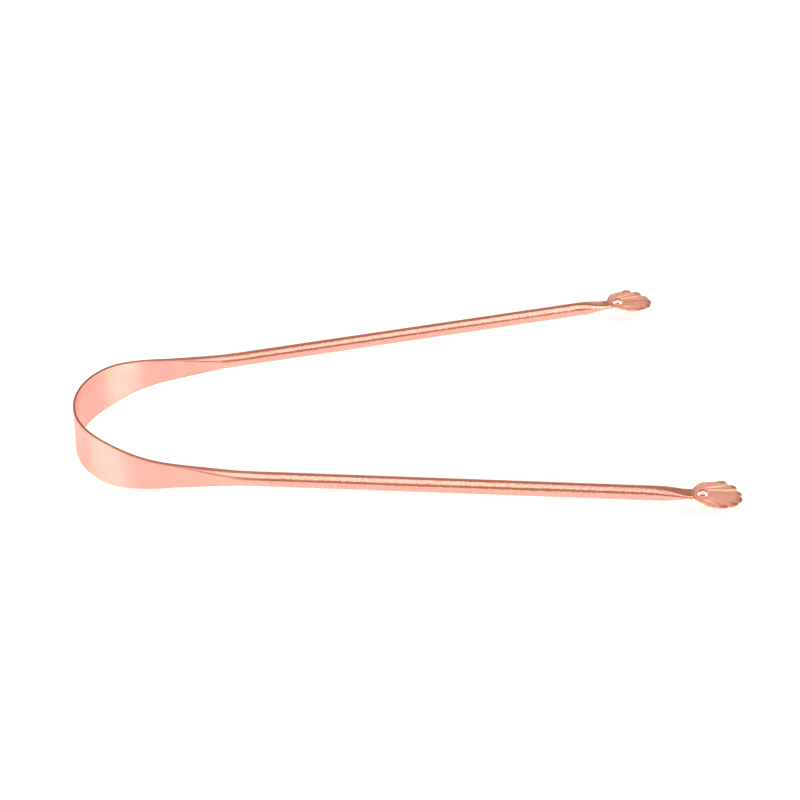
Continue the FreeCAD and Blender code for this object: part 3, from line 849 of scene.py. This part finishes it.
def stamped_copper(look, lobe_angle):
    """The shells: satin, with fine lines along the ribs and painted shade at the lobes' ends.

    The UV map has the rib's angle and the way from the hole to the rim, where its second number is 1.
    """
    material, tree, shader = copper_material("stamped_copper")
    coordinates = tree.nodes.new("ShaderNodeTexCoord")
    place = coordinates.outputs["Object"]
    run = node(tree, "ShaderNodeSeparateXYZ", Vector=coordinates.outputs["UV"])
    ray = line_noise(tree, coordinates.outputs["UV"], RAY_SCALES, 2.0)
    grain = noise(tree, place, SHELL_GRAIN, 3.0)
    tone = clouded(tree, place, SHELL_CLOUDS, look.pale, look.bright)
    lined = mixed(tree, ranged(tree, ray, *RAY_TARNISH), tone, look.tarnish)
    at_rim = ranged(tree, run.outputs["Y"], TIP_START)
    tips = product(tree, at_rim, lobe_tip_shade(tree, run.outputs["X"], lobe_angle))
    # Painted shade at the lobes' tips near the rim.
    colour = mixed(tree, tips, lined, look.tip_painted_shade)
    rough = grain_roughness(tree, grain, look.shell_roughness, SHELL_UNEVENNESS)
    bump = node(tree, "ShaderNodeBump", Height=ray, **RAY_BUMP)
    set_inputs(tree, shader, Base_Color=colour, Metallic=look.shell_metal, Roughness=rough,
               Normal=bump.outputs["Normal"])
    return material


def polished_copper(look):
    """The rivets: polished, with soft clouds and a few fine marks."""
    material, tree, shader = copper_material("polished_copper")
    place = tree.nodes.new("ShaderNodeTexCoord").outputs["Object"]
    grain = noise(tree, place, RIVET_GRAIN, 2.0)
    tone = clouded(tree, place, RIVET_CLOUDS, look.bright, look.warm)
    colour = mixed(tree, ranged(tree, grain, *RIVET_TARNISH), tone, look.tarnish)
    rough = grain_roughness(tree, grain, look.rivet_roughness, RIVET_UNEVENNESS)
    set_inputs(tree, shader, Base_Color=colour, Metallic=1.0, Roughness=rough)
    return material


class SCRAPER_OT_bow(bpy.types.Operator):
    """Make the brushed bow as two halves that bend with the rods"""

    bl_idname = "scraper.bow"
    bl_label = "Bow"
    bl_options = {"REGISTER", "UNDO"}

    def execute(self, context):
        arm = ArmShape(context.scene)
        material = lined_copper("brushed_copper", context.scene.scraper_copper)
        near_split = arm.end_angle - SPLIT_STRETCH / arm.outer_radius
        turns = stretched_steps(0.0, (near_split, BOW_STEPS), (arm.end_angle, SPLIT_STEPS))
        places = [(turn - arm.end_angle) * arm.outer_radius for turn in turns]
        for name, body, side in ARMS:
            bm = swept_bar(arm.bow_spot, turns, places)
            piece = finish_piece(context, bm, f"{name}_bow_strip", side, material)
            turned = Vector((1, side, 1))
            end = (arm.hinge - arm.forward * HINGE_MARGIN) * turned
            start = (arm.hinge - arm.forward * arm.bow.flex_length) * turned
            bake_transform(piece, "bow", body, start=start, end=end)
            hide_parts("scraper_band")
        return {"FINISHED"}


class SCRAPER_OT_rods(bpy.types.Operator):
    """Make the two rods with their shoulders, pressed necks and tongues"""

    bl_idname = "scraper.rods"
    bl_label = "Rods"
    bl_options = {"REGISTER", "UNDO"}

    def execute(self, context):
        arm = ArmShape(context.scene)
        material = lined_copper("drawn_copper", context.scene.scraper_copper)
        places = stretched_steps(0.0, (arm.shoulder_length, SHOULDER_STEPS), (arm.rod.rod_end, ROD_STEPS),
                                 (arm.neck_start, SLOPE_STEPS), (arm.shell_root, NECK_STEPS))
        stations = [("rod", along) for along in places]
        tip = arm.rivet_along + arm.rod.tongue_width / 2
        tongue = stretched_steps(arm.shell_root, (arm.rivet_along, TONGUE_STEPS), (tip, TIP_STEPS))
        stations += [("tongue", along) for along in tongue]
        places += tongue
        for name, body, side in ARMS:
            bm = swept_bar(arm.handle_spot, stations, places)
            piece = finish_piece(context, bm, f"{name}_rod", side, material)
            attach(piece, body)
            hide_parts(f"{name}_handle")
        return {"FINISHED"}


class SCRAPER_OT_shells(bpy.types.Operator):
    """Make the two scallop shells"""

    bl_idname = "scraper.shells"
    bl_label = "Shells"
    bl_options = {"REGISTER", "UNDO"}

    def execute(self, context):
        arm = ArmShape(context.scene)
        form = ShellShape(context.scene, arm)
        material = stamped_copper(context.scene.scraper_copper, form.shell.lobe_angle)
        stations = form.stations()
        for name, body, side in ARMS:
            bm = start_ring(len(form.rim))
            sweep(bm, form.spot, stations, [form.place(station) for station in stations])
            form.lay_ribs(bm)
            bmesh.ops.remove_doubles(bm, verts=bm.verts, dist=MERGE_DISTANCE)
            piece = finish_piece(context, bm, f"{name}_scallop", side, material)
            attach(piece, body)
            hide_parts(f"{name}_shell")
        return {"FINISHED"}


class SCRAPER_OT_rivets(bpy.types.Operator):
    """Make the two domed rivets"""

    bl_idname = "scraper.rivets"
    bl_label = "Rivets"
    bl_options = {"REGISTER", "UNDO"}

    def execute(self, context):
        sizes = context.scene.scraper_rivet
        material = polished_copper(context.scene.scraper_copper)
        for name, body, side in ARMS:
            bm = self.domed_head(sizes)
            self.shank_and_tail(bm, context.scene, sizes)
            bmesh.ops.translate(bm, vec=(RIVET_AXIS.x, RIVET_AXIS.y, 0), verts=bm.verts)
            piece = finish_piece(context, bm, f"{name}_dome_rivet", side, material)
            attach(piece, body)
            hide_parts(f"{name}_rivet")
        return {"FINISHED"}

    def domed_head(self, sizes):
        """The cap of a ball, cut level at the head's seat."""
        ball = (sizes.head_radius ** 2 + sizes.head_height ** 2) / (2 * sizes.head_height)
        top = RIVET_HIGH.z
        bm = bmesh.new()
        bmesh.ops.create_uvsphere(bm, u_segments=DOME_SEGMENTS, v_segments=DOME_RINGS, radius=ball)
        bmesh.ops.translate(bm, vec=(0, 0, top - ball), verts=bm.verts)
        seat = Vector((0, 0, top - sizes.head_height))
        everything = bm.verts[:] + bm.edges[:] + bm.faces[:]
        bmesh.ops.bisect_plane(bm, geom=everything, dist=CUT_DISTANCE, plane_co=seat,
                               plane_no=(0, 0, -1), clear_outer=True)
        return bm

    def shank_and_tail(self, bm, scene, sizes):
        """Extrudes the head's open edge in to the shank, down, out to the tail and across its bottom."""
        under = MID_Z - scene.scraper_rod.neck_thickness / 2
        seat = RIVET_HIGH.z - sizes.head_height
        bottom = under - sizes.tail_height
        rings = ((sizes.shank_radius, seat), (sizes.shank_radius, under), (sizes.tail_radius, under),
                 (sizes.tail_radius, bottom + sizes.tail_round),
                 (sizes.tail_radius - sizes.tail_round, bottom))
        ring = [edge for edge in bm.edges if edge.is_boundary]
        for edge in ring:
            edge.smooth = False
        for radius, height in rings:
            verts, ring = extrude_ring(bm, ring)
            for vert in verts:
                flat = vert.co.xy.normalized() * radius
                vert.co = (flat.x, flat.y, height)
            for edge in ring:
                edge.smooth = False
        bmesh.ops.holes_fill(bm, edges=ring, sides=0)


# Half the floor's width, the floor's paint, and how far the backdrop's edge blurs up and down.
FLOOR_REACH = 4.0
FLOOR_PAINT = (0.5, 0.5, 0.5)
BACKDROP_BLUR = 0.03
SENSOR_WIDTH = 36.0
# The lamps: name, middle, the spot they face, width and height in metres.
OVERHEAD_LAMPS = (("left_overhead", (-0.56, -0.55, 1.0), (-0.56, -0.55, 0.0), 1.28, 1.42),
                  ("right_overhead", (0.575, -0.55, 1.0), (0.575, -0.55, 0.0), 0.75, 1.42))
SIDE_LAMPS = (("left_side", (-1.1, -0.04, 0.4), (0.0, 0.0, 0.0), 0.86, 0.7),
              ("right_side", (0.985, -0.48, 0.4), (0.0, 0.0, 0.0), 0.9, 0.8))


class SCRAPER_OT_stage(bpy.types.Operator):
    """Set up the white sweep, the soft lamps and the camera"""

    bl_idname = "scraper.stage"
    bl_label = "Studio"
    bl_options = {"REGISTER", "UNDO"}

    def execute(self, context):
        studio = context.scene.scraper_studio
        self.make_floor(context, studio)
        self.make_room(context.scene, studio)
        for lamp in OVERHEAD_LAMPS:
            self.make_panel(context, studio.lamp_strength, *lamp)
        for lamp in SIDE_LAMPS:
            self.make_panel(context, studio.side_strength, *lamp)
        self.make_camera(context, studio)
        context.scene.view_settings.view_transform = "Standard"
        return {"FINISHED"}

    def make_floor(self, context, studio):
        """A wide white floor under the tool that keeps a faint shadow."""
        bm = bmesh.new()
        bmesh.ops.create_grid(bm, x_segments=1, y_segments=1, size=FLOOR_REACH)
        material = bpy.data.materials.new("white_sweep")
        material.use_nodes = True
        tree = material.node_tree
        tree.nodes.clear()
        path = tree.nodes.new("ShaderNodeLightPath")
        paint = node(tree, "ShaderNodeBsdfDiffuse", Color=opaque(FLOOR_PAINT))
        seen = calculated(tree, "MAXIMUM", path.outputs["Is Camera Ray"], path.outputs["Is Glossy Ray"])
        fill = product(tree, seen, studio.floor_fill)
        glow = node(tree, "ShaderNodeEmission", Color=opaque(studio.sweep), Strength=fill)
        both = tree.nodes.new("ShaderNodeAddShader")
        tree.links.new(paint.outputs[0], both.inputs[0])
        tree.links.new(glow.outputs[0], both.inputs[1])
        node(tree, "ShaderNodeOutputMaterial", Surface=both.outputs[0])
        floor = add_mesh(context, bm, "sweep_floor", material)

    def make_room(self, scene, studio):
        """White backdrop up to a low angle all round, and a dim warm room above it."""
        world = bpy.data.worlds.new("studio_room")
        world.use_nodes = True
        tree = world.node_tree
        coordinates = tree.nodes.new("ShaderNodeTexCoord")
        height = tree.nodes.new("ShaderNodeVectorMath")
        height.operation = "DOT_PRODUCT"
        connect(tree, coordinates.outputs["Generated"], height.inputs[0])
        connect(tree, (0.0, -math.sin(studio.backdrop_lean), 1.0), height.inputs[1])
        edge = math.sin(studio.backdrop_angle)
        above = ranged(tree, height.outputs["Value"], (edge - BACKDROP_BLUR, edge + BACKDROP_BLUR))
        colour = mixed(tree, above, studio.sweep, studio.ceiling)
        tree.links.new(colour, tree.nodes["Background"].inputs["Color"])
        scene.world = world

    def make_panel(self, context, brightness, name, middle, aim, width, height):
        """A soft panel that faces a spot, with a face of this brightness."""
        lamp = bpy.data.lights.new(name, "AREA")
        lamp.shape = "RECTANGLE"
        lamp.size = width
        lamp.size_y = height
        lamp.energy = brightness * math.pi * width * height
        facing = (Vector(aim) - Vector(middle)).to_track_quat("-Z", "Y")
        holder = add_object(context, name, lamp)
        holder.matrix_world = Matrix.Translation(middle) @ facing.to_matrix().to_4x4()

    def make_camera(self, context, studio):
        lens = bpy.data.cameras.new("photo_camera")
        lens.sensor_width = SENSOR_WIDTH
        lens.lens = studio.focal_length
        camera = add_object(context, "photo_camera", lens)
        raised = Matrix.Rotation(math.pi / 2 - studio.tilt, 4, "X")
        turned = Matrix.Rotation(-studio.heading, 4, "Z")
        camera.matrix_world = Matrix.Translation(studio.camera_place) @ turned @ raised
        context.scene.camera = camera


GROUPS = (("scraper_bow", BowSizes), ("scraper_rod", RodSizes), ("scraper_shell", ShellSizes),
          ("scraper_rivet", RivetSizes), ("scraper_copper", CopperLook), ("scraper_studio", StudioLook))
MAKERS = (SCRAPER_OT_bow, SCRAPER_OT_rods, SCRAPER_OT_shells, SCRAPER_OT_rivets, SCRAPER_OT_stage)


class SCRAPER_PT_build(bpy.types.Panel):
    """Lists the scraper's pieces and their sizes"""

    bl_label = "Tongue scraper"
    bl_idname = "SCRAPER_PT_build"
    bl_space_type = "VIEW_3D"
    bl_region_type = "UI"
    bl_category = "Scraper"

    def draw(self, context):
        for maker in MAKERS:
            self.layout.operator(maker.bl_idname)
        for name, group in GROUPS:
            box = self.layout.box()
            box.label(text=group.__doc__)
            for size in group.__annotations__:
                box.prop(getattr(context.scene, name), size)


TOOLS = (*MAKERS, SCRAPER_PT_build)


def register():
    for name, group in GROUPS:
        bpy.utils.register_class(group)
        setattr(bpy.types.Scene, name, bpy.props.PointerProperty(type=group))
    for tool in TOOLS:
        bpy.utils.register_class(tool)


def unregister():
    for tool in reversed(TOOLS):
        bpy.utils.unregister_class(tool)
    for name, group in reversed(GROUPS):
        delattr(bpy.types.Scene, name)
        bpy.utils.unregister_class(group)


def main():
    register()
    bpy.ops.scraper.bow()
    bpy.ops.scraper.rods()
    bpy.ops.scraper.shells()
    bpy.ops.scraper.rivets()
    bpy.ops.scraper.stage()


if __name__ == "__main__":
    main()
